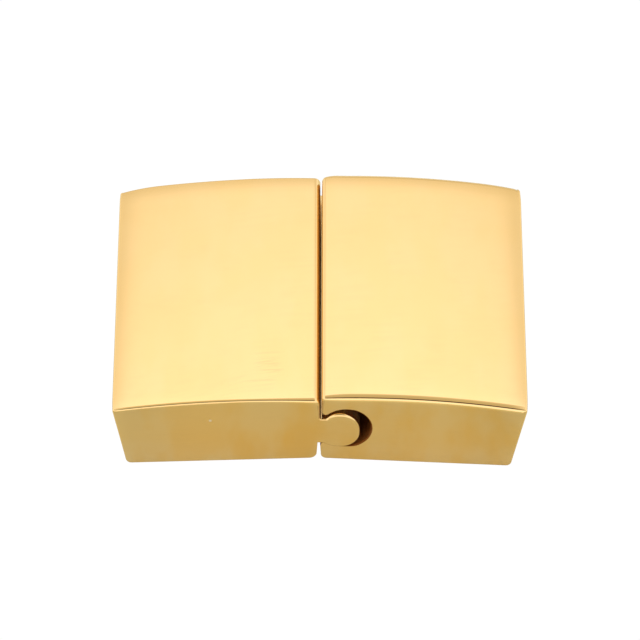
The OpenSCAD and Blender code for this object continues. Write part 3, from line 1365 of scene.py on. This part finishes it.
@dataclass(frozen=True)
class NickelPlate:
    """Satin nickel plating of the magnets.

    Attributes:
        clean: Tint of the plating.
        dull: Its tint where it has dulled.
        roughness: Roughness of the satin.
        smudge_roughness: Roughness that smudges add.
        scratch_roughness: Roughness that hairline scratches add.
    """

    clean: Colour = (0.70, 0.69, 0.67, 1.0)
    dull: Colour = (0.52, 0.51, 0.50, 1.0)
    roughness: float = 0.26
    smudge_roughness: float = 0.12
    scratch_roughness: float = 0.1

    def material(self, handling: bpy.types.NodeTree, waves: bpy.types.NodeTree) -> bpy.types.Material:
        """Makes the material.

        Args:
            handling: Group with the marks of handling.
            waves: Group with the polishing waves.

        Returns:
            The material.
        """
        made, graph = new_material("magnet_nickel")
        where = graph.add("ShaderNodeTexCoord").outputs["Object"]
        marks = graph.add("ShaderNodeGroup", {"Position": where}, node_tree=handling)
        smudges, hairlines = marks.outputs["Smudges"], marks.outputs["Hairlines"]
        wavy = graph.add("ShaderNodeGroup", {"Position": where}, node_tree=waves)
        mottle = graph.ease(graph.noise(where, 900.0, 3.0), 0.35, 0.7)
        colour = graph.blend(mottle, self.clean, self.dull)
        roughness = graph.math("MULTIPLY_ADD", smudges, self.smudge_roughness, self.roughness)
        roughness = graph.math("MULTIPLY_ADD", hairlines, self.scratch_roughness, roughness)
        bump = graph.add("ShaderNodeBump", {"Distance": 1.0, "Height": wavy.outputs["Height"]})
        values = {"Base Color": colour, "Metallic": 1.0, "Roughness": roughness}
        shader = graph.add("ShaderNodeBsdfPrincipled", values | {"Normal": bump.outputs[0]})
        graph.add("ShaderNodeOutputMaterial", {"Surface": shader.outputs[0]})
        return made


@dataclass(frozen=True)
class Studio:
    """White studio: a soft dome with one broad soft light behind, a key light and a pale floor.

    Attributes:
        white: Brightness of floor and backdrop as the camera sees them.
        floor_tint: Colour of the floor in the light and in reflections.
        floor_radius: Radius of the floor, in metres.
        floor_shade: Distance in front of the clasp's middle, in metres, and the floor's brightness and
            blueness there.
        side_shade: Loss of that brightness beside the clasp.
        side_shade_reach: Distance to the side, in metres, at which that starts and is full.
        floor_points: Points round the floor's rim.
        key_power: Power of the key light, in watts.
        key_elevation: Its height above the horizon behind the clasp, in degrees.
        key_distance: Its distance, in metres.
        key_size: Its diameter, in metres.
        dome: Angle from the zenith toward the front, in degrees, and brightness of each stop.
        dome_peak: Brightness that the curve of the dome is drawn against.
        side_level: Brightness of the dome far out to the left and right.
        side_start: How far to the side a direction points where that starts, as a share of it.
        side_full: The same share where it is full.
        side_rise: Steepness of a direction where that brightness starts and where it is full.
        side_drop: How much lower the bright part hangs at its sides.
        bright_tint: Tint of the dome where it is brightest.
        dim_tint: Its tint where it is dim.
        tint_levels: Brightness up to which it is dim, and from which it is brightest.
    """

    white: float = 1.02
    floor_tint: Colour = (0.82, 0.80, 0.58, 1.0)
    floor_radius: float = 1.2
    floor_shade: tuple[tuple[float, float, float], ...] = (
        (0.0, 1.0, 1.3),
        (0.0124, 1.0, 1.3),
        (0.0145, 0.95, 1.0),
        (0.018, 0.86, 1.0),
        (0.03, 0.78, 1.0),
        (0.05, 0.95, 1.0),
    )
    side_shade: float = 0.14
    side_shade_reach: tuple[float, float] = (0.008, 0.016)
    floor_points: int = 96
    key_power: float = 1.2
    key_elevation: float = 37.0
    key_distance: float = 0.6
    key_size: float = 0.22
    dome: tuple[tuple[float, float], ...] = (
        (-90.0, 0.72),
        (-60.0, 0.74),
        (-52.0, 0.84),
        (-49.6, 0.92),
        (-48.5, 1.03),
        (-47.4, 1.16),
        (-46.3, 1.24),
        (-45.2, 1.31),
        (-43.5, 1.36),
        (-41.5, 1.30),
        (-35.0, 0.95),
        (-20.0, 0.76),
        (0.0, 0.62),
        (32.0, 0.58),
        (35.0, 0.44),
        (38.5, 0.08),
        (51.5, 0.08),
        (55.0, 1.0),
        (60.0, 1.28),
        (90.0, 1.30),
    )
    dome_peak: float = 2.0
    side_level: float = 1.15
    side_start: float = 0.35
    side_full: float = 0.7
    side_rise: tuple[float, float] = (-0.45, 0.15)
    side_drop: float = 0.28
    bright_tint: Colour = (0.985, 0.965, 1.09, 1.0)
    dim_tint: Colour = (1.005, 0.92, 0.78, 1.0)
    tint_levels: tuple[float, float] = (0.55, 1.2)

    def build(self) -> None:
        """Makes the dome, the key light and the floor."""
        scene = bpy.context.scene
        scene.view_settings.view_transform = "Standard"
        scene.view_settings.look = "None"
        self._dome(scene)
        self._key(scene)
        self._floor(scene)

    def _dome(self, scene: bpy.types.Scene) -> None:
        """Lights the scene from a dome that is brightest behind the clasp.

        Args:
            scene: The scene.
        """
        world = bpy.data.worlds.new("studio_dome")
        world.use_nodes = True
        world.node_tree.nodes.clear()
        scene.world = world
        graph = Graph(world.node_tree)
        seen = graph.add("ShaderNodeTexCoord").outputs["Generated"]
        way = graph.add("ShaderNodeSeparateXYZ", {0: seen}).outputs
        front = graph.math("MULTIPLY", way["Y"], -1.0)
        angle = graph.math("ARCTAN2", front, way["Z"])
        bow = graph.math("MULTIPLY", way["X"], way["X"])
        angle = graph.math("MULTIPLY_ADD", bow, self.side_drop, angle)
        values = {"Value": angle, "From Min": -math.pi / 2.0, "From Max": math.pi / 2.0}
        share = graph.add("ShaderNodeMapRange", values).outputs[0]
        curve = graph.add("ShaderNodeFloatCurve", {"Value": share})
        points = curve.mapping.curves[0].points
        for index, (degrees, level) in enumerate(self.dome):
            spot = ((degrees + 90.0) / 180.0, level / self.dome_peak)
            point = points[index] if index < 2 else points.new(*spot)
            point.location = spot
        for point in points:
            point.handle_type = "AUTO_CLAMPED"
        curve.mapping.update()
        level = graph.math("MULTIPLY", curve.outputs[0], self.dome_peak)
        aside = graph.ease(graph.math("ABSOLUTE", way["X"]), self.side_start, self.side_full)
        low = graph.math("MULTIPLY", graph.ease(way["Z"], *self.side_rise), self.side_level)
        mixed = graph.add("ShaderNodeMix", {0: aside, 2: level, 3: low}).outputs[0]
        tint = graph.blend(graph.ease(mixed, *self.tint_levels), self.dim_tint, self.bright_tint)
        studio = graph.add("ShaderNodeBackground", {"Color": tint, "Strength": mixed})
        plain = graph.add("ShaderNodeBackground", {"Color": WHITE, "Strength": self.white})
        direct = graph.add("ShaderNodeLightPath").outputs["Is Camera Ray"]
        both = graph.add("ShaderNodeMixShader", {0: direct, 1: studio.outputs[0], 2: plain.outputs[0]})
        graph.add("ShaderNodeOutputWorld", {"Surface": both.outputs[0]})

    def _key(self, scene: bpy.types.Scene) -> None:
        """Adds the key light behind the clasp, which only matt surfaces take.

        Args:
            scene: The scene.
        """
        light = bpy.data.lights.new("key_light", "AREA")
        light.shape, light.size, light.energy = "DISK", self.key_size, self.key_power
        lamp = bpy.data.objects.new("key_light", light)
        lift = math.radians(self.key_elevation)
        lamp.location = Vector((0.0, math.cos(lift), math.sin(lift))) * self.key_distance
        lamp.rotation_euler = (lift - math.pi / 2.0, 0.0, 0.0)
        lamp.visible_camera = lamp.visible_glossy = False
        scene.collection.objects.link(lamp)

    def _floor(self, scene: bpy.types.Scene) -> None:
        """Adds the floor.

        Args:
            scene: The scene.
        """
        mesh = bpy.data.meshes.new("floor")
        count = self.floor_points
        rim = [direction(360.0 * k / count) * self.floor_radius for k in range(count)]
        mesh.from_pydata([(spot.x, spot.y, 0.0) for spot in rim], [], [list(range(count))])
        mesh.materials.append(self._floor_material())
        floor = bpy.data.objects.new("floor", mesh)
        scene.collection.objects.link(floor)

    def _floor_material(self) -> bpy.types.Material:
        """Makes the floor's material.

        Returns:
            The material: white to the camera, shaded in the metal, clear from below.
        """
        made, graph = new_material("floor_white")
        spots = graph.add("ShaderNodeTexCoord").outputs["Object"]
        where = graph.add("ShaderNodeSeparateXYZ", {0: spots}).outputs
        ahead = graph.math("MULTIPLY", where["Y"], -1.0)
        last, furthest = len(self.floor_shade) - 1, self.floor_shade[-1][0]
        ramp = graph.add("ShaderNodeValToRGB", {0: graph.math("DIVIDE", ahead, furthest)})
        stops = ramp.color_ramp.elements
        red, green, blue, _ = self.floor_tint
        for index, (reach, level, cool) in enumerate(self.floor_shade):
            spot = reach / furthest
            stop = stops[-1] if index == last else stops.new(spot) if index else stops[0]
            stop.position = spot
            stop.color = (level * red, level * green * cool**0.25, level * blue * cool, 1.0)
        beside = graph.ease(graph.math("ABSOLUTE", where["X"]), *self.side_shade_reach)
        level = graph.math("MULTIPLY_ADD", beside, -self.side_shade, 1.0)
        values = {0: ramp.outputs[0], "Scale": level}
        shaded = graph.add("ShaderNodeVectorMath", values, operation="SCALE").outputs[0]
        matt = graph.add("ShaderNodeBsdfDiffuse", {"Color": shaded})
        plain = graph.add("ShaderNodeEmission", {"Color": WHITE, "Strength": self.white})
        clear = graph.add("ShaderNodeBsdfTransparent")
        path = graph.add("ShaderNodeLightPath")
        values = {0: path.outputs["Is Camera Ray"], 1: matt.outputs[0], 2: plain.outputs[0]}
        top = graph.add("ShaderNodeMixShader", values)
        # The floor is clear from below, and to every ray that has come up through it.
        below = graph.add("ShaderNodeNewGeometry").outputs["Backfacing"]
        passed = graph.math("GREATER_THAN", path.outputs["Transparent Depth"], 0.5)
        unseen = graph.math("MAXIMUM", below, passed)
        both = graph.add("ShaderNodeMixShader", {0: unseen, 1: top.outputs[0], 2: clear.outputs[0]})
        graph.add("ShaderNodeOutputMaterial", {"Surface": both.outputs[0]})
        return made


@dataclass(frozen=True)
class Camera:
    """Camera at the photograph's viewing angle.

    Attributes:
        lens: Focal length in millimetres.
        sensor: Width of the sensor in millimetres.
        elevation: Height above the horizon, in degrees.
        yaw: Turn to the side, in degrees.
        lean: Lean of the camera about the slide direction, in degrees.
        roll: Roll about the line of sight, in degrees.
        distance: Distance from the aim point, in millimetres.
        aim: Point that the camera looks at, in millimetres.
    """

    lens: float = 337.5
    sensor: float = 36.0
    elevation: float = 43.722
    yaw: float = -0.0538
    lean: float = 0.521
    roll: float = 0.0355
    distance: float = 443.27
    aim: tuple[float, float, float] = (0.012, 0.0, 3.066)

    def build(self) -> None:
        """Makes the camera and makes it the scene's."""
        rise, turn = math.radians(self.elevation), math.radians(self.yaw)
        flat = math.cos(rise)
        forward = Vector((math.sin(turn) * flat, math.cos(turn) * flat, -math.sin(rise)))
        right = Vector((math.cos(turn), -math.sin(turn), 0.0))
        lean = Matrix.Rotation(-math.radians(self.lean), 3, "Y")
        forward, right = lean @ forward, lean @ right
        up = right.cross(forward)
        roll = math.radians(self.roll)
        right, up = (
            right * math.cos(roll) + up * math.sin(roll),
            up * math.cos(roll) - right * math.sin(roll),
        )
        data = bpy.data.cameras.new("camera")
        data.lens, data.sensor_width = self.lens, self.sensor
        data.clip_start, data.clip_end = 0.01, 20.0
        camera = bpy.data.objects.new("camera", data)
        turned = Matrix((right, up, -forward)).transposed().to_4x4()
        spot = (Vector(self.aim) - forward * self.distance) * MM
        camera.matrix_world = Matrix.Translation(spot) @ turned
        bpy.context.scene.collection.objects.link(camera)
        bpy.context.scene.camera = camera


class Clasp:
    """The whole clasp: both halves, their magnets and their finishes."""

    def __init__(self) -> None:
        """Sets out the pieces' sizes."""
        mouth = RoundedBox(10.0, 1.1, 4.1, 0.35)
        recess = RoundedBox(7.04, 1.56, 3.64, 0.1)
        bar = RoundedBox(7.0, 1.6, 3.6, 0.14)
        pocket_end, tongue_start, socket_start, glue = 6.5, 1.0, 4.54, 0.04
        self.tongue = TongueHalf(
            side=HalfSide.TONGUE,
            crown=6.48,
            arch_radius=77.0,
            arch_offset=0.75,
            top_edge=0.2,
            face=0.0,
            lower_face=0.14,
            lower_lean=3.0,
            end_draw=0.32,
            brow_round=0.54,
            heel_round=0.6,
            joint_edge=0.31,
            joint_ramp=5.0,
            taper=0.0155,
            pocket=Pocket(pocket_end, mouth, recess, tongue_start - glue),
        )
        self.socket = SocketHalf(
            side=HalfSide.SOCKET,
            crown=6.79,
            arch_radius=62.0,
            arch_offset=2.95,
            top_edge=0.4,
            face=0.13,
            lower_face=0.03,
            brow_round=0.32,
            heel_round=0.45,
            joint_edge=0.27,
            joint_ramp=2.0,
            back_draw=0.38,
            end_draw=0.14,
            tip_draw=0.28,
            lip_roll=10.0,
            pocket=Pocket(pocket_end, mouth, recess, socket_start - glue),
        )
        self.magnets = {
            "tongue": BarMagnet(HalfSide.TONGUE, tongue_start, pocket_end, bar),
            "socket": BarMagnet(HalfSide.SOCKET, socket_start, pocket_end, bar),
        }

    def build(self) -> None:
        """Makes every piece and puts it on its body."""
        handling, waves = handling_group(), waves_group()
        gold = GoldPlate().material(handling, waves)
        nickel = NickelPlate().material(handling, waves)
        for name, half in (("tongue", self.tongue), ("socket", self.socket)):
            shell = Shell()
            half.loft(shell, half.profile())
            self._settle(shell.build(f"{name}_body", gold), f"{name}_side", f"{name}_half", "gold_plate")
            magnet = self.magnets[name].build(f"{name}_bar", nickel)
            self._settle(magnet, f"{name}_side", f"{name}_magnet", "magnet")

    @staticmethod
    def _settle(piece: bpy.types.Object, body: str, node: str, slot: str) -> None:
        """Puts a piece on its body, in the place of its plain solid.

        Args:
            piece: The piece.
            body: The body that it moves with.
            node: The solid that it stands for.
            slot: Not used.
        """
        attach(piece, body)
        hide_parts(node)


def main() -> None:
    """Loads the frame, then makes the clasp, the studio and the camera."""
    logging.basicConfig(level=logging.INFO, format="%(name)s: %(message)s", stream=sys.stdout)
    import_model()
    Clasp().build()
    Studio().build()
    Camera().build()


if __name__ == "__main__":
    main()
